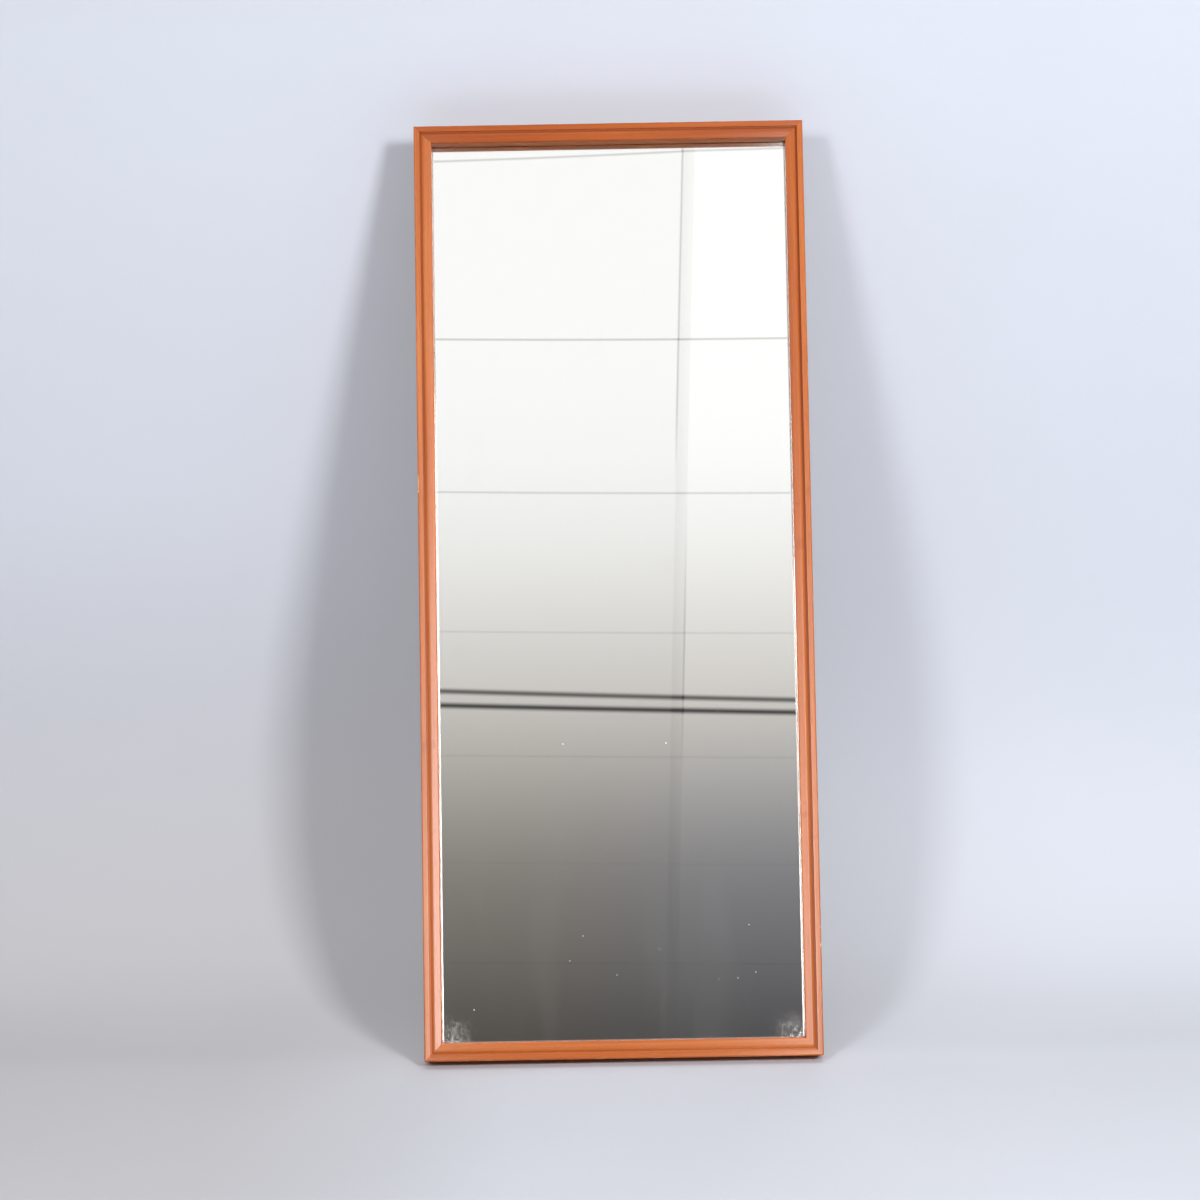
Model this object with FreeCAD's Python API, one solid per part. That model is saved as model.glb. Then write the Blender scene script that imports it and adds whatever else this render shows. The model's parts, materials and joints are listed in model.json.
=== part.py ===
import FreeCAD, Part

import os
from math import ceil, sin, sqrt

V = FreeCAD.Vector

# Frame: X across, +Y towards the wall, +Z up; the origin is the middle of the lower back edge
WIDTH = 400.0
HEIGHT = 955.0

# Teak moulding, measured inwards from its outer edge and forwards from its back
FACE_WIDTH = 18.0
OUTER_STRIP = 6.0
GROOVE_WIDTH = 3.8
GROOVE_FLOOR = 1.2
GROOVE_DEPTH = 2.2
FACE_FALL = 1.0
LIP_DEPTH = 17.5
REBATE_DEPTH = 12.5
REBATE_WIDTH = 5.0
OUTER_ROUND = 1.5
CORNER_ROUND = 1.6
SIGHT_ROUND = 1.5
GROOVE_EASE = 0.4
GROOVE_ROUND = 0.4
SHOULDER_ROUND = 4.0

# Loose splines in the mitres
SPLINE_THICKNESS = 3.0
SPLINE_COVER = 2.1
SPLINE_GLUE_GAP = 0.1

# Sheets in the rebate, from the front backwards
EDGE_CLEARANCE = 1.0
GLASS_THICKNESS = 4.0
SILVER_THICKNESS = 0.1
PAPER_THICKNESS = 0.3
BOARD_THICKNESS = 3.2
PACKER_LENGTH = 30.0
PACKER_INSET = 90.0

# Brads driven sideways into the rebate wall
BRAD_DIAMETER = 1.6
BRAD_COVER = 4.0
BRAD_SHOW = 9.0
BRAD_POINT = 2.5
BRAD_CLEARANCE = 0.05
BRAD_SPACING = 150.0
BRAD_END = 55.0

# Hangers on the back of the stiles
HANGER_DROP = 150.0
HANGER_INSET = 7.0
TAB_SHEET = 0.8
TAB_WIDTH = 7.0
TAB_LENGTH = 10.5
TAB_SIDE_GAP = 0.25
RING_WIRE = 2.2
RING_CORNER = 1.5
RING_LEG = 14.0
RING_CLEARANCE = 0.08
SCREW_DIAMETER = 3.0
SCREW_LENGTH = 14.0
SCREW_POINT = 3.0
SCREW_DROP = 6.2
SCREW_HOLE_CLEARANCE = 0.15
SCREW_HEAD_DIAMETER = 5.4
SCREW_HEAD_HEIGHT = 1.9
SCREW_SLOT_WIDTH = 0.7
SCREW_SLOT_DEPTH = 0.8

# Worked out from the sizes above
DEPTH = LIP_DEPTH + REBATE_DEPTH
LAND = FACE_WIDTH - REBATE_WIDTH
SHEET_INSET = LAND + EDGE_CLEARANCE
GLASS_BACK = REBATE_DEPTH - GLASS_THICKNESS
SILVER_BACK = GLASS_BACK - SILVER_THICKNESS
PAPER_BACK = SILVER_BACK - PAPER_THICKNESS
BOARD_BACK = PAPER_BACK - BOARD_THICKNESS
RING_RADIUS = RING_WIRE / 2
EYE_BORE = RING_RADIUS + RING_CLEARANCE
EYE_RADIUS = EYE_BORE + TAB_SHEET
TAB_THICKNESS = 2 * TAB_SHEET
HANGER_X = WIDTH / 2 - HANGER_INSET
PIVOT_Y = TAB_SHEET + EYE_BORE
PIVOT_Z = HEIGHT - HANGER_DROP


def rounded_face(corners):
    """Face in the XY plane from corners (x, y, radius), each rounded where its radius isn't zero."""
    stops = []
    for i, (x, y, radius) in enumerate(corners):
        here = V(x, y, 0)
        before = V(*corners[i - 1][:2], 0)
        after = V(*corners[(i + 1) % len(corners)][:2], 0)
        if radius == 0:
            stops.append((here, here, here))
            continue
        back = (before - here).normalize()
        on = (after - here).normalize()
        half = back.getAngle(on) / 2
        middle = (back + on).normalize()
        reach = radius / sin(half)
        tangent = sqrt(reach ** 2 - radius ** 2)
        stops.append((here + back * tangent, here + middle * (reach - radius), here + on * tangent))
    edges = []
    for i, (start, middle, end) in enumerate(stops):
        if start != end:
            edges.append(Part.Arc(start, middle, end).toShape())
        edges.append(Part.LineSegment(end, stops[(i + 1) % len(stops)][0]).toShape())
    return Part.Face(Part.Wire(edges))


def moulding_bar(length):
    """Mitred moulding along +Z: outer edge on x = 0, inner side towards +X, front towards -Y."""
    floor_end = OUTER_STRIP + GROOVE_FLOOR
    groove_end = OUTER_STRIP + GROOVE_WIDTH
    groove_floor = DEPTH - GROOVE_DEPTH
    section = rounded_face([
        (0, 0, 0),
        (0, -DEPTH, OUTER_ROUND),
        (OUTER_STRIP, -DEPTH, GROOVE_EASE),
        (OUTER_STRIP, -groove_floor, GROOVE_ROUND),
        (floor_end, -groove_floor, GROOVE_ROUND),
        (groove_end, -DEPTH, SHOULDER_ROUND),
        (FACE_WIDTH, -(DEPTH - FACE_FALL), SIGHT_ROUND),
        (FACE_WIDTH, -REBATE_DEPTH, 0),
        (LAND, -REBATE_DEPTH, 0),
        (LAND, 0, 0),
    ])
    bar = section.extrude(V(0, 0, length))
    plan = [V(0, 0, 0), V(0, 0, length), V(FACE_WIDTH, 0, length - FACE_WIDTH), V(FACE_WIDTH, 0, FACE_WIDTH)]
    blank = Part.Face(Part.makePolygon(plan + plan[:1])).extrude(V(0, -DEPTH, 0))
    return bar.common(blank)


def frame_members():
    """The four mitred members, in place and still without holes."""
    left = moulding_bar(HEIGHT).translated(V(-WIDTH / 2, 0, 0))
    bottom = moulding_bar(WIDTH).rotated(V(0, 0, 0), V(0, 1, 0), -90).translated(V(WIDTH / 2, 0, 0))
    return {
        "stile_left": left,
        "stile_right": left.mirror(V(0, 0, 0), V(1, 0, 0)),
        "rail_bottom": bottom,
        "rail_top": bottom.mirror(V(0, 0, HEIGHT / 2), V(0, 0, 1)),
    }


def corner_sliver():
    """What a round takes off the lower left corner of the frame."""
    block = Part.makeBox(CORNER_ROUND, DEPTH, CORNER_ROUND, V(-WIDTH / 2, -DEPTH, 0))
    axis = V(CORNER_ROUND - WIDTH / 2, -DEPTH, CORNER_ROUND)
    return block.cut(Part.makeCylinder(CORNER_ROUND, DEPTH, axis, V(0, 1, 0)))


def mitre_spline(side_x, side_z, gap):
    """Square tongue across one mitre, grown by gap for its slot."""
    side = (FACE_WIDTH / 2 - SPLINE_COVER) * sqrt(2) + 2 * gap
    thickness = SPLINE_THICKNESS + 2 * gap
    depth = (REBATE_DEPTH + DEPTH - GROOVE_DEPTH) / 2
    tongue = Part.makeBox(side, thickness, side, V(-side / 2, -thickness / 2, -side / 2))
    tongue.rotate(V(0, 0, 0), V(0, 1, 0), 45)
    x = side_x * (WIDTH / 2 - FACE_WIDTH / 2)
    z = HEIGHT / 2 + side_z * (HEIGHT / 2 - FACE_WIDTH / 2)
    return tongue.translated(V(x, -depth, z))


def rebate_sheet(front, back):
    """Flat sheet that fills the rebate less its edge clearance, between two depths from the back."""
    width = WIDTH - 2 * SHEET_INSET
    height = HEIGHT - 2 * SHEET_INSET
    return Part.makeBox(width, front - back, height, V(-width / 2, -front, SHEET_INSET))


def packer(along_x, x, z):
    """Slip that fills the edge clearance beside the glass, centred on x and z."""
    size_x = PACKER_LENGTH if along_x else EDGE_CLEARANCE
    size_z = EDGE_CLEARANCE if along_x else PACKER_LENGTH
    return Part.makeBox(size_x, GLASS_THICKNESS, size_z, V(x - size_x / 2, -REBATE_DEPTH, z - size_z / 2))


def packer_groups():
    """A pair of packers for each edge of the glass."""
    gap_middle = LAND + EDGE_CLEARANCE / 2
    across = [-WIDTH / 2 + PACKER_INSET, WIDTH / 2 - PACKER_INSET]
    upright = [PACKER_INSET, HEIGHT - PACKER_INSET]
    return {
        "packers_bottom": [packer(True, x, gap_middle) for x in across],
        "packers_top": [packer(True, x, HEIGHT - gap_middle) for x in across],
        "packers_left": [packer(False, gap_middle - WIDTH / 2, z) for z in upright],
        "packers_right": [packer(False, WIDTH / 2 - gap_middle, z) for z in upright],
    }


def brad(foot, outwards):
    """Headless brad whose shank leaves the rebate wall at foot, with its point outwards in the wood."""
    radius = BRAD_DIAMETER / 2
    bite = LAND - BRAD_COVER
    shank = Part.makeCylinder(radius, BRAD_SHOW + bite - BRAD_POINT, foot - outwards * BRAD_SHOW, outwards)
    point = Part.makeCone(radius, 0, BRAD_POINT, foot + outwards * (bite - BRAD_POINT), outwards)
    return shank.fuse(point).removeSplitter()


def spread(length):
    """Places along a side of this length, evenly spaced about its middle."""
    reach = length / 2 - LAND - BRAD_END
    gaps = max(1, ceil(2 * reach / BRAD_SPACING))
    return [-reach + 2 * reach * i / gaps for i in range(gaps + 1)]


def brads():
    """All brads, lying on the back of the backboard."""
    y = -(BOARD_BACK - BRAD_DIAMETER / 2 - BRAD_CLEARANCE)
    wall_x = WIDTH / 2 - LAND
    wall_z = HEIGHT / 2 - LAND
    made = []
    for side in (-1, 1):
        for z in spread(HEIGHT):
            made.append(brad(V(side * wall_x, y, HEIGHT / 2 + z), V(side, 0, 0)))
        for x in spread(WIDTH):
            made.append(brad(V(x, y, HEIGHT / 2 + side * wall_z), V(0, 0, side)))
    return made


def hanger_tab(x):
    """Strip folded round the ring's bar and screwed to the back of a stile."""
    half = TAB_WIDTH / 2
    end = PIVOT_Z - TAB_LENGTH
    plate = Part.makeBox(TAB_WIDTH, TAB_THICKNESS, TAB_LENGTH - half, V(x - half, 0, end + half))
    tip = Part.makeCylinder(half, TAB_THICKNESS, V(x, 0, end + half), V(0, 1, 0))
    eye = Part.makeCylinder(EYE_RADIUS, TAB_WIDTH, V(x - half, PIVOT_Y, PIVOT_Z), V(1, 0, 0))
    bore = Part.makeCylinder(EYE_BORE, TAB_WIDTH, V(x - half, PIVOT_Y, PIVOT_Z), V(1, 0, 0))
    hole_radius = SCREW_DIAMETER / 2 + SCREW_HOLE_CLEARANCE
    hole = Part.makeCylinder(hole_radius, TAB_THICKNESS, V(x, 0, PIVOT_Z - SCREW_DROP), V(0, 1, 0))
    return plate.fuse([tip, eye]).removeSplitter().cut([bore, hole])


def hanger_ring(x):
    """Wire loop hanging from its straight bar, which runs through the tab's eye."""
    half = TAB_WIDTH / 2 + TAB_SIDE_GAP + RING_CORNER
    straight = half - RING_CORNER
    corner = RING_CORNER * (1 - 1 / sqrt(2))

    def at(dx, down):
        return V(x + dx, PIVOT_Y, PIVOT_Z - down)

    edges = [
        Part.LineSegment(at(0, 0), at(straight, 0)),
        Part.Arc(at(straight, 0), at(half - corner, corner), at(half, RING_CORNER)),
        Part.LineSegment(at(half, RING_CORNER), at(half, RING_LEG)),
        Part.Arc(at(half, RING_LEG), at(0, RING_LEG + half), at(-half, RING_LEG)),
        Part.LineSegment(at(-half, RING_LEG), at(-half, RING_CORNER)),
        Part.Arc(at(-half, RING_CORNER), at(corner - half, corner), at(-straight, 0)),
        Part.LineSegment(at(-straight, 0), at(0, 0)),
    ]
    path = Part.Wire([edge.toShape() for edge in edges])
    section = Part.Wire(Part.makeCircle(RING_RADIUS, at(0, 0), V(1, 0, 0)))
    return path.makePipeShell([section], True, False)


def hanger_screw(x):
    """Slotted round-head wood screw through a tab into a stile."""
    axis_z = PIVOT_Z - SCREW_DROP
    radius = SCREW_DIAMETER / 2
    head_radius = SCREW_HEAD_DIAMETER / 2
    point_y = TAB_THICKNESS - SCREW_LENGTH
    cap_radius = (head_radius ** 2 + SCREW_HEAD_HEIGHT ** 2) / (2 * SCREW_HEAD_HEIGHT)
    seat = V(x, TAB_THICKNESS, axis_z)
    ball = Part.makeSphere(cap_radius, seat + V(0, SCREW_HEAD_HEIGHT - cap_radius, 0))
    head = ball.common(Part.makeCylinder(head_radius, SCREW_HEAD_HEIGHT, seat, V(0, 1, 0)))
    slot_y = TAB_THICKNESS + SCREW_HEAD_HEIGHT - SCREW_SLOT_DEPTH
    slot_corner = V(x - head_radius, slot_y, axis_z - SCREW_SLOT_WIDTH / 2)
    slot = Part.makeBox(SCREW_HEAD_DIAMETER, SCREW_SLOT_DEPTH, SCREW_SLOT_WIDTH, slot_corner)
    shank = Part.makeCylinder(radius, SCREW_LENGTH - SCREW_POINT, seat, V(0, -1, 0))
    point = Part.makeCone(0, radius, SCREW_POINT, V(x, point_y, axis_z), V(0, 1, 0))
    return head.cut(slot).fuse([shank, point]).removeSplitter()


def build():
    """Every node's solids, by node name."""
    nodes = {}
    members = frame_members()
    corners = {"top_left": (-1, 1), "top_right": (1, 1), "bottom_left": (-1, -1), "bottom_right": (1, -1)}
    slots = [mitre_spline(*sides, SPLINE_GLUE_GAP) for sides in corners.values()]
    pins = brads()
    screws = {"left": hanger_screw(-HANGER_X), "right": hanger_screw(HANGER_X)}
    sliver = corner_sliver()
    slivers = [sliver, sliver.mirror(V(0, 0, 0), V(1, 0, 0))]
    for name, member in members.items():
        nodes[name] = [member.cut(slots + pins + list(screws.values()) + slivers)]
    for name, sides in corners.items():
        nodes["spline_" + name] = [mitre_spline(*sides, 0)]
    nodes["mirror_glass"] = [rebate_sheet(REBATE_DEPTH, GLASS_BACK)]
    nodes["silver_layer"] = [rebate_sheet(GLASS_BACK, SILVER_BACK)]
    nodes["backing_paper"] = [rebate_sheet(SILVER_BACK, PAPER_BACK)]
    nodes["backboard"] = [rebate_sheet(PAPER_BACK, BOARD_BACK)]
    nodes.update(packer_groups())
    nodes["backboard_brads"] = pins
    for side, x in (("left", -HANGER_X), ("right", HANGER_X)):
        nodes["hanger_tab_" + side] = [hanger_tab(x)]
        nodes["hanger_ring_" + side] = [hanger_ring(x)]
        nodes["hanger_screw_" + side] = [screws[side]]
    return nodes


os.makedirs("parts", exist_ok=True)
for node, solids in build().items():
    shape = solids[0] if len(solids) == 1 else Part.makeCompound(solids)
    shape.exportStep("parts/" + node + ".step")
    print(node, len(shape.Solids), "solids", round(shape.Volume, 1), "mm3, valid", shape.isValid())
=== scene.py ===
import json
import math
from collections import namedtuple
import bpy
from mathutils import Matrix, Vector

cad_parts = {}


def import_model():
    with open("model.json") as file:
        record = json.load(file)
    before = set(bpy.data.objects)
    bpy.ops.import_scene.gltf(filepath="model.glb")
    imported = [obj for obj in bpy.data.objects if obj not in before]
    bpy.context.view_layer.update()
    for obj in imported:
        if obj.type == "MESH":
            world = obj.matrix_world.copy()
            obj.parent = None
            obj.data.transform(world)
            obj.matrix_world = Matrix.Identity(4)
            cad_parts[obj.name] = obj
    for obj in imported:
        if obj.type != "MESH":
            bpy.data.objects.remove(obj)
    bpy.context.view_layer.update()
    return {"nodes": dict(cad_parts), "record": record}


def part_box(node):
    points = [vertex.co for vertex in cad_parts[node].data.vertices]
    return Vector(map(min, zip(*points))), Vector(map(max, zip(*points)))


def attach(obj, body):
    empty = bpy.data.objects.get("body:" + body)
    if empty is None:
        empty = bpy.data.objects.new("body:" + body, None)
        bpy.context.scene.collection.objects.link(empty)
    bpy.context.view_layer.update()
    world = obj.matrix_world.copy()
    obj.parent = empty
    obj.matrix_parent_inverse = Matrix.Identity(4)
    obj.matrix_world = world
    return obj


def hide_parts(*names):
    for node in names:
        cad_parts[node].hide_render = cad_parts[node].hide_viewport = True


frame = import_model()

from types import SimpleNamespace

import bmesh
import bpy
from mathutils import Matrix, Vector

NODES = frame["nodes"]
MM = 0.001

# Places worked out from the frame, in metres
OUTER_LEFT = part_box("stile_left")[0].x
OUTER_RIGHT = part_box("stile_right")[1].x
SIGHT_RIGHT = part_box("stile_right")[0].x
FRAME_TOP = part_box("rail_top")[1].z
FRAME_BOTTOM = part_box("rail_bottom")[0].z
SIGHT_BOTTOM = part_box("rail_bottom")[1].z
FRAME_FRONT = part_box("rail_bottom")[0].y
FRAME_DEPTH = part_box("rail_bottom")[1].y - FRAME_FRONT

# Camera, fitted to the corners of the frame in the photograph
IMAGE_SIDE = 1200
FOCAL_PIXELS = 3100
SENSOR = 36.0
CAMERA_PLACE = Vector((-0.0164, -3.1565, 0.1292))
CAMERA_PITCH = math.radians(5.1774)
CAMERA_YAW = math.radians(0.0153)
CAMERA_ROLL = math.radians(0.9764)
CAMERA_SHIFT = 0.0404

# Colours, linear
TEAK_LIGHT = (0.615, 0.186, 0.047)
TEAK_MID = (0.478, 0.118, 0.021)
TEAK_DARK = (0.340, 0.066, 0.009)
TEAK_PORE = (0.110, 0.024, 0.006)
# Painted shade and grime for the groove
TEAK_GROOVE_SHADE_AND_GRIME = (0.230, 0.042, 0.006)
TEAK_BARE = (0.500, 0.262, 0.132)
TEAK_SAWN = (0.300, 0.135, 0.060)
TEAK_WORN = (0.800, 0.520, 0.340)
TEAK_STOPS = [(0.25, TEAK_DARK), (0.50, TEAK_MID), (0.75, TEAK_LIGHT)]
GLASS_TINT = (0.992, 0.994, 0.988)
SILVER_BRIGHT = (0.95, 0.95, 0.94)
SILVER_DULL = (0.88, 0.87, 0.85)
BOARD_STOPS = [(0.32, (0.13, 0.062, 0.026)), (0.5, (0.25, 0.13, 0.058)), (0.68, (0.36, 0.21, 0.105))]
WALL = (0.676, 0.712, 0.795)
# Colour of the painted shade on the stage
WALL_PAINTED_SHADE = (0.520, 0.522, 0.555)
SOFT_LIGHT = (1.0, 0.975, 0.95)


class Tree:
    """Short calls that add and join the nodes of one tree."""

    def __init__(self, tree):
        self.tree = tree
        tree.nodes.clear()

    def put(self, socket, value):
        """Joins an output to a socket, or sets a constant on it."""
        if isinstance(value, bpy.types.NodeSocket):
            self.tree.links.new(value, socket)
        elif hasattr(value, "__len__") and socket.type == "RGBA" and len(value) == 3:
            socket.default_value = (*value, 1.0)
        else:
            socket.default_value = value

    def add(self, kind, inputs=None, **settings):
        node = self.tree.nodes.new("ShaderNode" + kind)
        for name, value in settings.items():
            setattr(node, name, value)
        for key, value in (inputs or {}).items():
            self.put(node.inputs[key], value)
        return node

    def math(self, operation, a, b=0.0, clamp=False):
        node = self.add("Math", {0: a, 1: b}, operation=operation, use_clamp=clamp)
        return node.outputs[0]

    def fold(self, operation, *values):
        result = values[0]
        for value in values[1:]:
            result = self.math(operation, result, value)
        return result

    def plus(self, *values):
        return self.fold("ADD", *values)

    def less(self, a, b):
        return self.math("SUBTRACT", a, b)

    def times(self, *values):
        return self.fold("MULTIPLY", *values)

    def most(self, *values):
        return self.fold("MAXIMUM", *values)

    def least(self, *values):
        return self.fold("MINIMUM", *values)

    def size(self, value):
        return self.math("ABSOLUTE", value)

    def span(self, value, low, high, first=0.0, last=1.0):
        """value carried smoothly from low..high to first..last."""
        keys = {"Value": value, "From Min": low, "From Max": high, "To Min": first, "To Max": last}
        node = self.add("MapRange", keys, interpolation_type="SMOOTHSTEP")
        return node.outputs["Result"]

    def fade(self, value, low, high):
        """1 up to low, falling smoothly to 0 at high."""
        return self.span(value, low, high, 1.0, 0.0)

    def off(self, value, middle):
        """How far value is from middle."""
        return self.size(self.less(value, middle))

    def near(self, value, middle, reach):
        """1 where value is at middle, falling smoothly to 0 at reach from it."""
        return self.fade(self.off(value, middle), 0.0, reach)

    def spot(self, a, b, middle, reach):
        """1 in an ellipse about middle in the plane of a and b, falling to 0 at reach."""
        u = self.math("DIVIDE", self.less(a, middle[0]), reach[0])
        v = self.math("DIVIDE", self.less(b, middle[1]), reach[1])
        far = self.plus(self.times(u, u), self.times(v, v))
        return self.fade(far, 0.1, 1.0)

    def place(self):
        return self.add("TexCoord").outputs["Object"]

    def axes(self, vector):
        """The X, Y and Z of a vector, by name."""
        return self.add("SeparateXYZ", {0: vector}).outputs

    def noise(self, vector, scale, shift=(0.0, 0.0, 0.0), detail=2.0, rough=0.5, bend=0.0):
        """Noise with its own number of cycles to the metre on each axis."""
        grown = self.add("VectorMath", {0: vector, 1: scale}, operation="MULTIPLY").outputs[0]
        moved = self.add("VectorMath", {0: grown, 1: shift}, operation="ADD").outputs[0]
        keys = {"Vector": moved, "Scale": 1.0, "Detail": detail, "Roughness": rough, "Distortion": bend}
        return self.add("TexNoise", keys).outputs[0]

    def mix(self, factor, a, b, blend="MIX"):
        node = self.add("Mix", {0: factor, 6: a, 7: b}, data_type="RGBA", blend_type=blend)
        return node.outputs[2]

    def ramp(self, value, stops, way="LINEAR"):
        node = self.add("ValToRGB", {0: value})
        node.color_ramp.interpolation = way
        items = node.color_ramp.elements
        while len(items) < len(stops):
            items.new(0.5)
        for item, (place, colour) in zip(items, stops):
            item.position = place
            item.color = (*colour, 1.0)
        return node.outputs[0]

    def bump(self, height, strength, distance):
        keys = {"Height": height, "Strength": strength, "Distance": distance}
        return self.add("Bump", keys).outputs[0]


def new_material(name, **constants):
    """A material with one Principled shader. Constants go on its own sockets."""
    material = bpy.data.materials.new(name)
    material.use_nodes = True
    tree = Tree(material.node_tree)
    shader = tree.add("BsdfPrincipled")
    for key, value in constants.items():
        tree.put(shader.inputs[key.replace("_", " ")], value)
    output = tree.add("OutputMaterial")
    tree.put(output.inputs["Surface"], shader.outputs[0])
    return material, tree, shader


def dress(node, material):
    """Gives a CAD node's object one material."""
    for slot in NODES[node].material_slots:
        slot.material = material


def add_object(name, data):
    thing = bpy.data.objects.new(name, data)
    bpy.context.scene.collection.objects.link(thing)
    return thing


# ---- Teak ----

# Each member: axis of its grain, axis across it, where its outer edge lies on that, which way is inwards,
# how light its wood is, with painted shade on the top rail and painted light on the stiles, painted light
# towards the glass (painted shade where negative), how much lighter in a metre of its length (on the stiles
# painted shade towards the top), its gloss, and the painted shade and dirt in its groove at the lower or left
# end and at the upper or right end
Member = namedtuple("Member", "run side start inward light slant rise gloss dirt")
MEMBERS = {
    "stile_left": Member("Z", "X", OUTER_LEFT, 1.0, 0.14, -0.05, -0.10, 0.50, (0.0, 0.70)),
    "stile_right": Member("Z", "X", OUTER_RIGHT, -1.0, 0.14, -0.04, -0.17, 0.36, (0.70, 1.0)),
    "rail_top": Member("X", "Z", FRAME_TOP, -1.0, -0.11, -0.14, 0.0, 0.22, (0.40, 0.40)),
    "rail_bottom": Member("X", "Z", FRAME_BOTTOM, 1.0, 0.07, 0.03, 0.2, 0.24, (0.0, 0.0)),
}
GRAIN_WAY = {"X": (1.0, 0.0, 0.0), "Z": (0.0, 0.0, 1.0)}
SEED_STEPS = (3.17, 1.31, 7.77)

# Dark figure and pale nicks: place along the member, place from its outer edge, reach both ways, strength
FIGURE = {
    "stile_left": [
        (0.318, 0.0125, 0.0060, 0.0045, 0.45), (0.316, 0.0035, 0.0070, 0.0035, 0.35),
    ],
    "stile_right": [
        (0.557, 0.0140, 0.0010, 0.0035, 0.75), (0.516, 0.0130, 0.0080, 0.0070, 0.35),
        (0.570, 0.0025, 0.0080, 0.0030, 0.35), (0.241, 0.0135, 0.0045, 0.0040, 0.50),
        (0.253, 0.0135, 0.0010, 0.0025, 0.50),
    ],
}
NICKS = {
    "stile_left": [(0.585, 0.0005, 0.0110, 0.0009, 0.8), (0.576, 0.0006, 0.0012, 0.0012, 1.0)],
    "stile_right": [(0.110, 0.0005, 0.0025, 0.0012, 0.9), (0.128, 0.0005, 0.0015, 0.0009, 0.6)],
}

# Zones of the moulding, each by where it begins and ends to change: depth is from the front of the frame,
# and edge from the outer edge of the member
FRONT_DEPTH = (3.0 * MM, 4.5 * MM)
LIP_DEPTH, LIP_EDGE = (2.0 * MM, 3.5 * MM), (14.0 * MM, 16.5 * MM)
GROOVE_MIDDLE, GROOVE_REACH = 7.0 * MM, (0.3 * MM, 1.5 * MM)
FACE_EDGE = (5.0 * MM, 9.0 * MM)
STRIP_EDGE = (4.0 * MM, 5.5 * MM)
ARRIS_DEPTH, ARRIS_EDGE = (0.2 * MM, 2.0 * MM), (0.2 * MM, 1.8 * MM)
OUTSIDE_DEPTH, OUTSIDE_EDGE = (1.5 * MM, 4.0 * MM), (0.3 * MM, 1.0 * MM)
BARE_DEPTH = (FRAME_DEPTH - 2.5 * MM, FRAME_DEPTH - 0.4 * MM)
MITRE_REACH = 0.35 * MM
# Where along a member the painted shade and dirt of the groove change from one end's strength to the other's
SHADE_AND_DIRT_RUN = (0.05, 0.75)

# Noise in the wood, in cycles to the metre: across the grain both ways, and along it
DRIFT_SCALE = (45, 45, 2.5)
BAND_SCALE = (190, 190, 3.0)
STREAK_SCALE = (560, 560, 1.7)
FIBRE_SCALE = (1500, 1500, 26)
PORE_SCALE = (2600, 2600, 95)
RUBBED_SCALE = (300, 300, 60)
OPENED_SCALE = (220, 220, 220)

# How strongly each of these colours the wood
DRIFT_SHARE, BAND_SHARE = 0.4, 0.6
# Painted light on the lip of the top rail, which faces down
TOP_LIP_PAINTED_LIGHT = 0.38
FIBRE_SHADE = 0.20
STREAK_SHADE = 0.30
PORE_SHADE = 0.5
# Painted light in the groove where its painted shade and dirt are below this, and its strength
GROOVE_LIGHT_BELOW, GROOVE_LIGHT_SHARE = 0.6, 0.9
ARRIS_SHADE = 0.4
MITRE_SHADE = 0.6
BARE_SHADE = 0.85

# Roughness of the lacquer from the foot to the top of the fibres, and what is added to it or taken off
LACQUER_ROUGH = (0.23, 0.31)
PORE_ROUGH = 0.15
DULL_ROUGH = 0.40
STRIP_ROUGH = 0.12
LIP_SMOOTH = 0.04


def wood_fields(t, member, seed):
    """What the looks of a member depend on: places in it, zones of its moulding and its grain."""
    axes = t.axes(t.place())
    w = SimpleNamespace()
    w.run = axes[member.run]
    w.edge = t.times(t.less(axes[member.side], member.start), member.inward)
    w.depth = t.less(axes["Y"], FRAME_FRONT)
    if member.run == "Z":
        w.from_end = t.least(w.run, t.less(FRAME_TOP, w.run))
    else:
        w.from_end = t.less(OUTER_RIGHT, t.size(w.run))

    w.front = t.fade(w.depth, *FRONT_DEPTH)
    w.lip = t.times(t.span(w.depth, *LIP_DEPTH), t.span(w.edge, *LIP_EDGE))
    w.groove = t.times(t.fade(t.off(w.edge, GROOVE_MIDDLE), *GROOVE_REACH), w.front)
    w.bare = t.span(w.depth, *BARE_DEPTH)

    wood = t.add("CombineXYZ", {0: w.edge, 1: w.depth, 2: w.run}).outputs[0]
    shift = tuple(seed * step for step in SEED_STEPS)
    off_lip = t.less(1.0, w.lip)
    w.drift = t.noise(wood, DRIFT_SCALE, shift)
    w.bands = t.noise(wood, BAND_SCALE, shift, detail=3, rough=0.55, bend=0.5)
    w.fibre = t.noise(wood, FIBRE_SCALE, shift, detail=3, rough=0.65)
    w.lift = t.times(t.less(w.fibre, 0.5), off_lip)
    w.pore = t.times(t.span(t.noise(wood, PORE_SCALE, shift, detail=1), 0.66, 0.74), off_lip)
    w.streak = t.span(t.noise(wood, STREAK_SCALE, shift, detail=1), 0.58, 0.70)
    w.rubbed = t.span(t.noise(wood, RUBBED_SCALE, shift, detail=3), 0.52, 0.75)
    w.opened = t.span(t.noise(wood, OPENED_SCALE, shift), 0.35, 0.65)
    return w


def marked(t, w, colour, marks, tint, where=1.0):
    """colour with spots of a tint on a member."""
    for along, across, long, wide, strength in marks:
        mark = t.times(t.spot(w.run, w.edge, (along, across), (long, wide)), where)
        colour = t.mix(t.times(mark, strength), colour, tint)
    return colour


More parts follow.
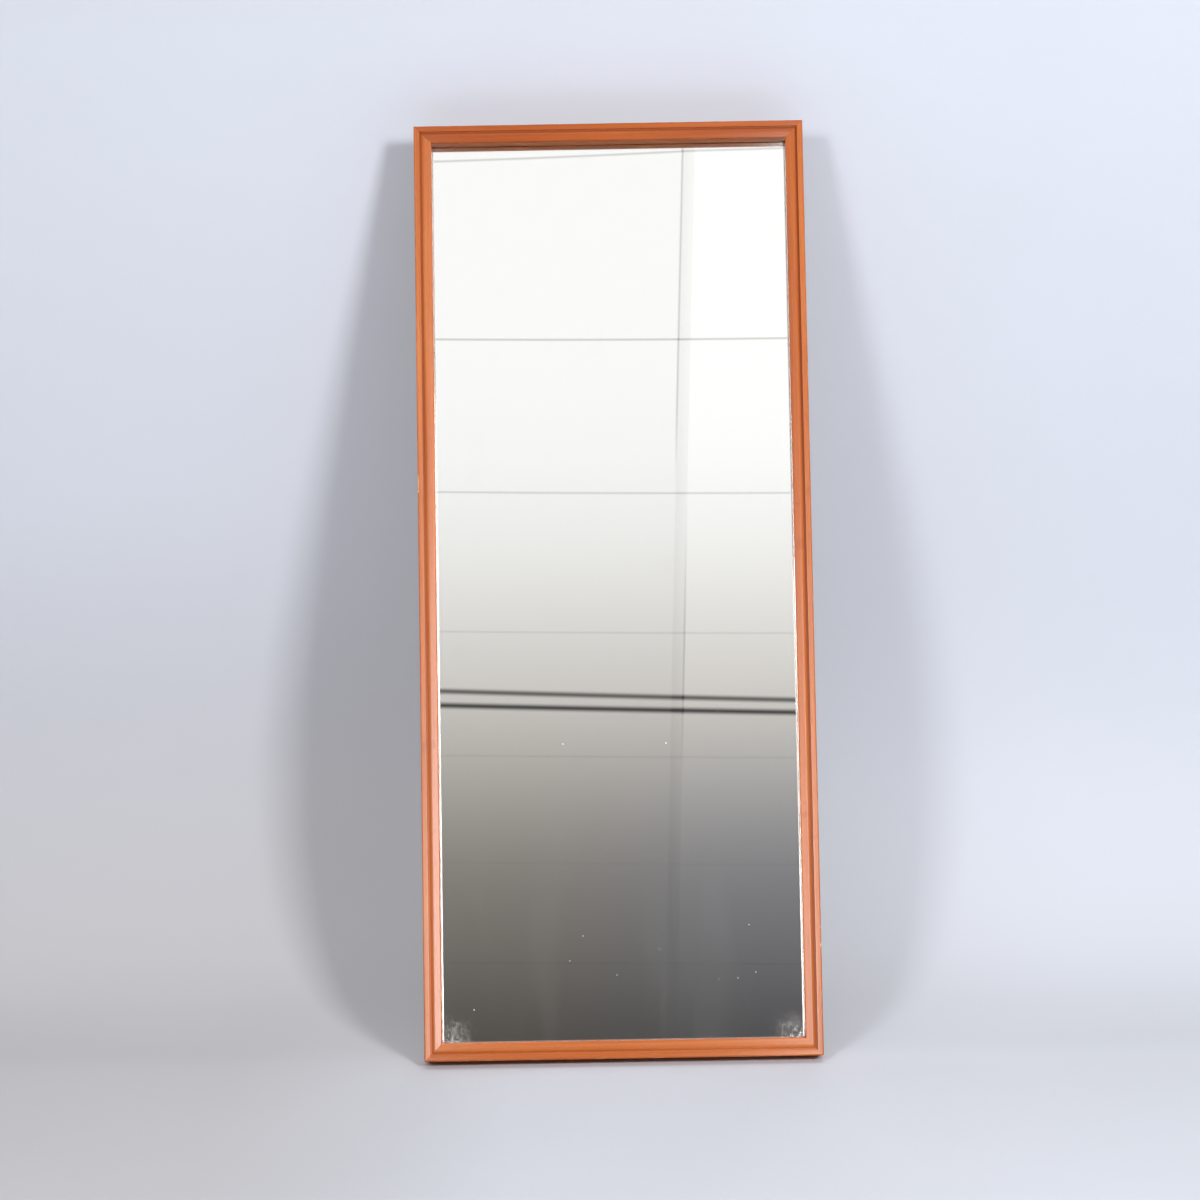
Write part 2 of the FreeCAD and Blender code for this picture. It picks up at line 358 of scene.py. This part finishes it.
def teak_colour(t, w, name):
    """Grain and the painted light and shade of each member first, then the painted shade, dirt and painted
    light in the groove, the worn edges, the mitres and the bare wood of the back.
    """
    member = MEMBERS[name]
    tone = t.plus(t.times(w.drift, DRIFT_SHARE), t.times(w.bands, BAND_SHARE))
    # Painted light and shade by member, towards the glass and along the length
    tone = t.plus(tone, t.span(w.edge, *FACE_EDGE, member.light, member.light + member.slant))
    tone = t.plus(tone, t.times(w.run, member.rise))
    # Painted light on the top rail's downward lip
    if name == "rail_top":
        tone = t.plus(tone, t.times(w.lip, TOP_LIP_PAINTED_LIGHT))
    colour = t.ramp(tone, TEAK_STOPS)
    colour = t.mix(t.span(w.fibre, 0.35, 0.75, 0.0, FIBRE_SHADE), colour, TEAK_DARK)
    colour = t.mix(t.times(w.streak, STREAK_SHADE), colour, TEAK_DARK)
    colour = t.mix(t.times(w.pore, PORE_SHADE), colour, TEAK_PORE)
    colour = marked(t, w, colour, FIGURE.get(name, []), TEAK_DARK)

    # Painted shade and dirt in the groove, and painted light in it where they are weak
    low, high = member.dirt
    dirt = t.times(w.groove, t.span(w.run, *SHADE_AND_DIRT_RUN, low, high))
    groove_painted_light = t.times(w.groove, t.span(w.run, *SHADE_AND_DIRT_RUN, GROOVE_LIGHT_BELOW - low, GROOVE_LIGHT_BELOW - high), GROOVE_LIGHT_SHARE)
    colour = t.mix(t.most(groove_painted_light, 0.0), colour, TEAK_LIGHT)
    colour = t.mix(dirt, colour, TEAK_GROOVE_SHADE_AND_GRIME)

    arris = t.times(t.fade(w.edge, *ARRIS_EDGE), t.fade(w.depth, *ARRIS_DEPTH))
    colour = t.mix(t.times(arris, w.rubbed, ARRIS_SHADE), colour, TEAK_WORN)
    colour = marked(t, w, colour, NICKS.get(name, []), TEAK_WORN, w.front)
    mitre = t.times(t.near(w.from_end, w.edge, MITRE_REACH), w.opened)
    colour = t.mix(t.times(mitre, MITRE_SHADE), colour, TEAK_PORE)

    sawn = t.mix(t.span(t.plus(w.bands, t.times(w.lift, 0.6)), 0.30, 0.72), TEAK_BARE, TEAK_SAWN)
    return t.mix(t.times(w.bare, BARE_SHADE), colour, sawn)


def teak_rough(t, w, member):
    """Lacquer that is dull in the groove, outside and on the back, and smoother on the stiles' lips."""
    rough = t.plus(t.span(w.lift, -0.3, 0.3, *LACQUER_ROUGH), t.times(w.pore, PORE_ROUGH))
    outside = t.times(t.fade(w.edge, *OUTSIDE_EDGE), t.span(w.depth, *OUTSIDE_DEPTH))
    rough = t.plus(rough, t.times(t.most(w.bare, w.groove, outside), DULL_ROUGH))
    if member.run == "Z":
        strip = t.times(t.fade(w.edge, *STRIP_EDGE), w.front)
        rough = t.plus(rough, t.times(strip, STRIP_ROUGH))
        rough = t.less(rough, t.times(w.lip, LIP_SMOOTH))
    return rough


def teak(name, seed):
    """Lacquered teak with its grain along the member."""
    member = MEMBERS[name]
    material, t, shader = new_material(
        "teak_" + name, IOR=1.46, Specular_IOR_Level=member.gloss, Anisotropic=0.9,
        Coat_Weight=0.1, Coat_Roughness=0.2, Coat_IOR=1.46,
    )
    w = wood_fields(t, member, seed)
    t.put(shader.inputs["Base Color"], teak_colour(t, w, name))
    t.put(shader.inputs["Roughness"], teak_rough(t, w, member))
    height = t.less(t.times(w.lift, 0.35), t.times(w.pore, 0.8))
    t.put(shader.inputs["Normal"], t.bump(height, 0.2, 0.12 * MM))
    facing = t.add("NewGeometry").outputs["Normal"]
    grain = GRAIN_WAY[member.run]
    across = t.add("VectorMath", {0: facing, 1: grain}, operation="CROSS_PRODUCT").outputs[0]
    t.put(shader.inputs["Tangent"], across)
    dress(name, material)


# ---- Glass and what lies behind it ----

# Marks on the glass: where they begin and end above its lower edge and towards its sides, and their strength
SMUDGE_UP, SMUDGE_SHADE = (SIGHT_BOTTOM + 2 * MM, SIGHT_BOTTOM + 32 * MM), 0.34
SMUDGE_ASIDE = (SIGHT_RIGHT - 38 * MM, SIGHT_RIGHT - 2 * MM)
DUST_UP, DUST_SHADE = (SIGHT_BOTTOM, SIGHT_BOTTOM + 4 * MM), 0.8
HAZE_UP, HAZE_SHADE = (0.05, 0.38), 0.008
SMUDGE_ROUGH = 0.4

# Specks of dust on the glass: across, up and size
SPECKS = [
    (-0.0565, 0.3174, 0.0010), (0.0481, 0.3166, 0.0009), (-0.0394, 0.1229, 0.0009),
    (-0.0529, 0.0980, 0.0007), (-0.0057, 0.0831, 0.0007), (-0.1504, 0.0505, 0.0008),
    (0.0376, 0.1085, 0.0007), (0.1285, 0.1315, 0.0008), (0.1163, 0.0781, 0.0008),
    (0.1345, 0.0838, 0.0008), (0.0971, 0.0774, 0.0006),
]
SPECK_REACH, SPECK_SHADE = 0.78, 0.9

# The pane: how far it is kept from what it touches, and the width of its ground edges
PANE_CLEAR = 0.02 * MM
PANE_GROUND = 0.5 * MM

# Pitch of the mesh pressed into the back of the hardboard
BOARD_MESH = 1.4 * MM


def glass_material():
    """Float glass with smudges in its lower corners, dust along its lower edge, a faint haze and specks."""
    material, t, shader = new_material("float_glass", Base_Color=GLASS_TINT, IOR=1.52)
    place = t.place()
    axes = t.axes(place)
    x, z = axes["X"], axes["Z"]
    sides = t.span(t.size(x), *SMUDGE_ASIDE)
    cloud = t.noise(place, (240, 240, 150), detail=8, rough=0.75)
    smudge = t.times(t.fade(z, *SMUDGE_UP), sides, t.span(cloud, 0.44, 0.70), SMUDGE_SHADE)
    grit = t.noise(place, (420, 420, 420), detail=3)
    dust = t.times(t.fade(z, *DUST_UP), sides, t.span(grit, 0.55, 0.68), DUST_SHADE)
    wiped = t.noise(place, (34, 34, 4.0), detail=4, bend=0.6)
    haze = t.times(t.fade(z, *HAZE_UP), t.span(wiped, 0.45, 0.80), HAZE_SHADE)
    film = t.most(smudge, dust, haze)
    for across, up, size in SPECKS:
        reach = size * SPECK_REACH
        film = t.most(film, t.times(t.spot(x, z, (across, up), (reach, reach)), SPECK_SHADE))
    t.put(shader.inputs["Transmission Weight"], t.less(1.0, film))
    t.put(shader.inputs["Roughness"], t.times(smudge, SMUDGE_ROUGH))
    return material


def silver_material():
    """Silvering, a little dull in patches."""
    material, t, shader = new_material("silvering", Metallic=1.0)
    cloud = t.noise(t.place(), (25, 25, 25), detail=4)
    dull = t.span(cloud, 0.6, 0.8, 0.0, 0.25)
    t.put(shader.inputs["Base Color"], t.mix(dull, SILVER_BRIGHT, SILVER_DULL))
    t.put(shader.inputs["Roughness"], t.span(cloud, 0.6, 0.9, 0.0, 0.02))
    return material


def speckled(name, light, dark, scale, rough, metal=0.0, depth=0.1):
    """A plain worn surface with mottling, for what is hardly seen."""
    material, t, shader = new_material(name, Metallic=metal)
    spots = t.noise(t.place(), (scale, scale, scale), detail=5, rough=0.65)
    t.put(shader.inputs["Base Color"], t.ramp(spots, [(0.35, dark), (0.65, light)]))
    t.put(shader.inputs["Roughness"], t.span(spots, 0.3, 0.7, rough - 0.1, rough + 0.1))
    t.put(shader.inputs["Normal"], t.bump(spots, 0.3, depth * MM))
    return material


def hardboard_material():
    """Brown pressed fibres, with the mesh of the press on the back."""
    material, t, shader = new_material("hardboard")
    place = t.place()
    axes = t.axes(place)
    fibres = t.noise(place, (420, 60, 420), detail=6, rough=0.7, bend=1.5)
    broad = t.noise(place, (9, 9, 9), detail=3)
    tone = t.plus(t.times(fibres, 0.7), t.times(broad, 0.3))
    t.put(shader.inputs["Base Color"], t.ramp(tone, BOARD_STOPS))
    t.put(shader.inputs["Roughness"], t.span(fibres, 0.3, 0.7, 0.72, 0.9))
    turns = 2 * math.pi / BOARD_MESH
    warp = t.math("SINE", t.times(axes["X"], turns))
    weft = t.math("SINE", t.times(axes["Z"], turns))
    height = t.plus(t.times(t.most(warp, weft), 0.5), t.times(fibres, 0.6))
    t.put(shader.inputs["Normal"], t.bump(height, 0.45, 0.2 * MM))
    return material


def glass_pane():
    """The mirror's glass with ground edges, a hair clear of the wood and the silver."""
    low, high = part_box("mirror_glass")
    low = low + Vector((0, PANE_CLEAR, 0))
    high = high - Vector((0, 2 * PANE_CLEAR, 0))
    made = bmesh.new()
    bmesh.ops.create_cube(made, size=1.0)
    for v in made.verts:
        v.co = Vector(h if c > 0 else l for c, l, h in zip(v.co, low, high))
    bmesh.ops.bevel(made, geom=made.edges[:], offset=PANE_GROUND, segments=2, affect="EDGES", profile=0.5)
    mesh = bpy.data.meshes.new("glass_pane")
    made.to_mesh(mesh)
    made.free()
    pane = add_object("glass_pane", mesh)
    mesh.materials.append(glass_material())
    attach(pane, "mirror")
    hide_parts("mirror_glass")


# ---- Stage ----

# The floor falls away in front, because the mirror in the photograph leans back on its lower back edge
LEAN = math.tan(math.radians(16.0))
FLOOR_DROP = 0.8 * MM
FLOOR_HALF, BACKDROP_HALF = 6.0, 3.0
CURVE_STEPS = 12

# How far from the mirror the stage begins to fade out of the camera's sight, and is gone
STAGE_FADE = (0.85, 1.6)

# Where the stage has painted shade: low down at the left, and on the floor in front, there more to the left
LEFT_SHADE_X, LEFT_SHADE_Z = (0.02, -0.42), (0.66, 0.16)
FRONT_Y, FRONT_X, FRONT_PAINTED_SHADE = (-0.01, -0.06), (0.45, 0.15), (0.05, 0.22)
PAINTED_SHADE_SHARE, PATCH_SHARE = 0.85, 0.15


def stage_material(name, one_sided):
    """Painted board with painted shade low at the left and on the floor in front, that fades out of sight
    away from the mirror, and may be clear from behind.
    """
    material, t, shader = new_material(name, Roughness=0.9, Specular_IOR_Level=0.1)
    place = t.place()
    axes = t.axes(place)
    # Painted shade low down at the left and on the floor in front, with mottling
    left = t.times(t.span(axes["X"], *LEFT_SHADE_X), t.span(axes["Z"], *LEFT_SHADE_Z))
    front = t.times(t.span(axes["Y"], *FRONT_Y), t.span(axes["X"], *FRONT_X, *FRONT_PAINTED_SHADE))
    patch = t.noise(place, (3, 3, 3), detail=3)
    painted_shade_and_mottle = t.times(t.most(left, front), PAINTED_SHADE_SHARE)
    painted_shade_and_mottle = t.math("ADD", painted_shade_and_mottle, t.times(patch, PATCH_SHARE), clamp=True)
    t.put(shader.inputs["Base Color"], t.mix(painted_shade_and_mottle, WALL, WALL_PAINTED_SHADE))

    level = t.add("CombineXYZ", {0: axes["X"], 1: axes["Y"]}).outputs[0]
    far = t.add("VectorMath", {0: level}, operation="LENGTH").outputs["Value"]
    gone = t.times(t.span(far, *STAGE_FADE), t.add("LightPath").outputs["Is Camera Ray"])
    if one_sided:
        gone = t.most(gone, t.add("NewGeometry").outputs["Backfacing"])
    clear = t.add("BsdfTransparent").outputs[0]
    both = t.add("MixShader", {0: gone, 1: shader.outputs[0], 2: clear})
    output = next(n for n in t.tree.nodes if n.type == "OUTPUT_MATERIAL")
    t.put(output.inputs["Surface"], both.outputs[0])
    return material


def sheet_object(name, points, half_width, material):
    """A sheet drawn out sideways from a line of (y, z) points, its front towards the camera."""
    made = bmesh.new()
    rows = [[made.verts.new((x, y, z)) for y, z in points] for x in (-half_width, half_width)]
    for i in range(len(points) - 1):
        made.faces.new((rows[0][i], rows[1][i], rows[1][i + 1], rows[0][i + 1]))
    mesh = bpy.data.meshes.new(name)
    made.to_mesh(mesh)
    made.free()
    for face in mesh.polygons:
        face.use_smooth = True
    sheet = add_object(name, mesh)
    mesh.materials.append(material)
    return sheet


def spline_points(knots, steps):
    """Points on a smooth curve through knots."""
    found = []
    ends = [knots[0]] + list(knots) + [knots[-1]]
    for i in range(len(knots) - 1):
        a, b, c, d = (Vector(p) for p in ends[i : i + 4])
        for k in range(steps):
            s = k / steps
            bend = (2 * a - 5 * b + 4 * c - d) * s ** 2 + (3 * b - a - 3 * c + d) * s ** 3
            found.append(0.5 * (2 * b + (c - a) * s + bend))
    found.append(Vector(knots[-1]))
    return [tuple(p) for p in found]


def floor_point(y, lift=0.0):
    """The (y, z) of the floor at y, or of a point a little above it."""
    return (y, min(y, 0.0) * LEAN - FLOOR_DROP + lift)


FLOOR_LINE = [floor_point(y) for y in (-6.0, -0.2, -0.1, 0.0, 0.1, 0.2, 6.0)]

# The backdrop leaves the floor under the mirror and comes forwards again to just behind its top
BACKDROP_LINE = [
    floor_point(-0.60, 0.2 * MM), floor_point(-0.30, 0.3 * MM), floor_point(-0.10, 0.4 * MM),
    floor_point(0.0, 0.5 * MM), (0.045, 0.010), (0.09, 0.021), (0.14, 0.038), (0.19, 0.064), (0.235, 0.105),
    (0.272, 0.165), (0.296, 0.25), (0.298, 0.34), (0.272, 0.45), (0.22, 0.58), (0.14, 0.75), (0.035, 0.96),
    (-0.09, 1.20), (-0.30, 1.60),
]


def stage():
    floor = sheet_object("floor", FLOOR_LINE, FLOOR_HALF, stage_material("floor", False))
    for ray in ("glossy", "transmission"):
        setattr(floor, "visible_" + ray, False)
    curve = spline_points(BACKDROP_LINE, CURVE_STEPS)
    wall = sheet_object("backdrop", curve, BACKDROP_HALF, stage_material("backdrop", True))
    for ray in ("shadow", "diffuse", "glossy", "transmission"):
        setattr(wall, "visible_" + ray, False)


# ---- Light ----

# Lamps, aimed at one point: place, size, power, and whether reflections show them
LAMP_AIM = (0.0, 0.0, 0.45)
LAMPS = {
    "overhead": ((0.0, -1.5, 3.6), (2.5, 2.0), 36, True),
    "behind": ((0.6, 2.4, 1.6), (1.5, 1.5), 19, True),
    "key_right": ((1.34, -2.95, 0.90), (0.5, 0.5), 60, False),
    "key_left": ((-1.24, -2.95, 0.90), (0.5, 0.5), 32, False),
}

# Boxes that the lacquer reflects: side, lower and upper end, radiance
GLOSS_BOXES = [
    (1, -0.30, 0.48, 45.0), (1, 0.48, 0.85, 25.0), (1, 0.85, 1.20, 10.0), (1, 1.20, 1.70, 4.0),
    (-1, -0.30, 0.26, 23.0), (-1, 0.26, 0.85, 12.0), (-1, 0.85, 1.70, 3.0),
]
BOX_X, BOX_Y, BOX_WIDTH = 0.62, -2.9, 0.42


def lamp(name, place, target, size, power):
    data = bpy.data.lights.new(name, "AREA")
    data.shape = "RECTANGLE"
    data.size, data.size_y = size
    data.energy = power
    thing = add_object(name, data)
    thing.location = place
    thing.rotation_mode = "QUATERNION"
    thing.rotation_quaternion = (Vector(target) - Vector(place)).to_track_quat("-Z", "Y")
    thing.visible_camera = False
    return thing


def lamps():
    for name, (place, size, power, reflected) in LAMPS.items():
        lamp(name, place, LAMP_AIM, size, power).visible_glossy = reflected
    for side, low, high, glow in GLOSS_BOXES:
        middle = (low + high) / 2
        size = (BOX_WIDTH, high - low)
        power = glow * math.pi * size[0] * size[1]
        box = lamp("gloss_box", (side * BOX_X, BOX_Y, middle), (0.0, 0.0, middle), size, power)
        box.visible_diffuse = False


# ---- Room in the glass ----

# Its grey by the height of the direction, and how much warmer it is where it is dark
ROOM_LOW, ROOM_HIGH, ROOM_WHITE = -0.5, 0.3, 1.1
ROOM_STOPS = [
    (-0.50, 0.50), (-0.30, 0.34), (-0.12, 0.09), (-0.04, 0.075), (-0.02, 0.125), (0.00, 0.185),
    (0.02, 0.24), (0.04, 0.36), (0.06, 0.51), (0.08, 0.68), (0.10, 0.785), (0.12, 0.935),
    (0.135, 0.99), (0.15, 1.05), (0.18, 1.10), (0.30, 1.10),
]
ROOM_WARMTH = 0.10
ROOM_DARKEST = 0.9

# Joints between the panels of its ceiling: height of the direction, fall to the right, half width, strength
ROOM_JOINTS = [
    (0.2455, -0.026, 0.0006, 0.32), (0.1885, 0.014, 0.0006, 0.35), (0.1400, 0.020, 0.0006, 0.26),
    (0.0953, 0.022, 0.0006, 0.14), (0.0751, 0.042, 0.0015, 0.78), (0.0708, 0.037, 0.0016, 0.88),
    (0.0554, 0.023, 0.0006, 0.10), (0.0210, 0.023, 0.0006, 0.05), (-0.0109, 0.020, 0.0006, 0.08),
]
RISE_END = 0.033

# The upright band: its lean and place across, its shade, and the tints to the left of it and low at the right
BAND_LEAN, BAND_PLACE = 0.0366, 0.0217
BAND_HALF, BAND_SHADE = (0.0016, 0.0022), 0.07
BAND_LEFT, BAND_RIGHT, BAND_LINE = -0.0020, 0.0019, 0.0006
LEFT_TINT, LEFT_SPAN = (0.94, 0.94, 0.94), (-0.002, 0.002)
COOL_TINT, COOL_SPAN, COOL_UP = (0.91, 0.98, 1.14), (-0.06, 0.03), (0.08, 0.0)

# Light from all round: its strength from below to above
SOFT_UP, SOFT_STRENGTH = (-0.3, 1.0), (0.14, 0.36)


def room_stops():
    """The greys of the room as stops of a ramp from 0 to 1."""
    stops = []
    for height, grey in ROOM_STOPS:
        warm = ROOM_WARMTH * max(0.0, 1.0 - grey)
        tint = (grey * (1 + warm) / ROOM_WHITE, grey / ROOM_WHITE, grey * (1 - warm) / ROOM_WHITE)
        stops.append(((height - ROOM_LOW) / (ROOM_HIGH - ROOM_LOW), tint))
    return stops


def room(t, way):
    """Colour of the room by direction, for what the glass and the lacquer show."""
    axes = t.axes(way)
    across, up = axes["X"], axes["Z"]
    keys = {"Value": up, "From Min": ROOM_LOW, "From Max": ROOM_HIGH}
    height = t.add("MapRange", keys).outputs["Result"]
    colour = t.ramp(height, room_stops(), "B_SPLINE")
    upright = t.less(across, t.plus(t.times(up, BAND_LEAN), BAND_PLACE))
    cool = t.times(t.span(upright, *COOL_SPAN), t.span(up, *COOL_UP))
    colour = t.mix(cool, colour, COOL_TINT, "MULTIPLY")
    colour = t.mix(t.fade(upright, *LEFT_SPAN), colour, LEFT_TINT, "MULTIPLY")

    dark = t.times(t.fade(t.size(upright), *BAND_HALF), BAND_SHADE)
    left_line = t.times(t.near(upright, BAND_LEFT, BAND_LINE), t.span(up, 0.14, 0.17, 0.0, 0.3))
    right_line = t.times(t.near(upright, BAND_RIGHT, BAND_LINE), t.near(up, 0.09, 0.05), 0.25)
    dark = t.plus(dark, left_line, right_line)
    for place, fall, reach, strength in ROOM_JOINTS:
        along = t.least(across, RISE_END) if fall < 0.0 else across
        level = t.plus(up, t.times(along, fall))
        dark = t.plus(dark, t.times(t.near(level, place, reach), strength))
    return t.mix(t.least(dark, ROOM_DARKEST), colour, (0.0, 0.0, 0.0))


def world():
    """The room for reflections, plain wall colour for the camera and soft light for all else."""
    made = bpy.data.worlds.new("studio")
    bpy.context.scene.world = made
    made.use_nodes = True
    t = Tree(made.node_tree)
    way = t.add("TexCoord").outputs["Generated"]
    path = t.add("LightPath").outputs
    mirrored = t.most(path["Is Glossy Ray"], path["Is Transmission Ray"])
    strength = t.span(t.axes(way)["Z"], *SOFT_UP, *SOFT_STRENGTH)
    soft = t.add("Background", {"Color": SOFT_LIGHT, "Strength": strength})
    inside = t.add("Background", {"Color": room(t, way), "Strength": ROOM_WHITE})
    seen = t.add("Background", {"Color": WALL, "Strength": 1.0})
    first = t.add("MixShader", {0: mirrored, 1: soft.outputs[0], 2: inside.outputs[0]})
    last = t.add("MixShader", {0: path["Is Camera Ray"], 1: first.outputs[0], 2: seen.outputs[0]})
    t.put(t.add("OutputWorld").inputs["Surface"], last.outputs[0])


def camera():
    data = bpy.data.cameras.new("camera")
    data.sensor_width = SENSOR
    data.lens = SENSOR * FOCAL_PIXELS / IMAGE_SIDE
    data.shift_y = CAMERA_SHIFT
    thing = add_object("camera", data)
    turn = (
        Matrix.Rotation(CAMERA_YAW, 4, "Z")
        @ Matrix.Rotation(CAMERA_PITCH, 4, "X")
        @ Matrix.Rotation(CAMERA_ROLL, 4, "Y")
        @ Matrix.Rotation(math.pi / 2, 4, "X")
    )
    thing.matrix_world = Matrix.Translation(CAMERA_PLACE) @ turn
    bpy.context.scene.camera = thing


def dress_all():
    """Gives every CAD piece its material, by member or by material slot."""
    for seed, name in enumerate(MEMBERS, 1):
        teak(name, seed)
    by_slot = {
        "beech": speckled("beech", (0.62, 0.44, 0.28), (0.50, 0.33, 0.19), 300, 0.7),
        "paper": speckled("kraft_paper", (0.50, 0.34, 0.19), (0.42, 0.28, 0.15), 500, 0.85),
        "cork": speckled("cork", (0.58, 0.38, 0.20), (0.34, 0.20, 0.10), 900, 0.85, depth=0.4),
        "steel": speckled("dull_steel", (0.56, 0.55, 0.53), (0.30, 0.28, 0.26), 900, 0.42, 1.0, 0.03),
        "brass": speckled("aged_brass", (0.74, 0.52, 0.22), (0.34, 0.21, 0.09), 700, 0.38, 1.0, 0.03),
        "hardboard": hardboard_material(),
        "silvering": silver_material(),
    }
    for part in frame["record"]["subparts"]:
        if part["material_slot"] in by_slot:
            dress(part["node"], by_slot[part["material_slot"]])


bpy.context.scene.view_settings.view_transform = "Standard"
camera()
stage()
lamps()
world()
dress_all()
glass_pane()
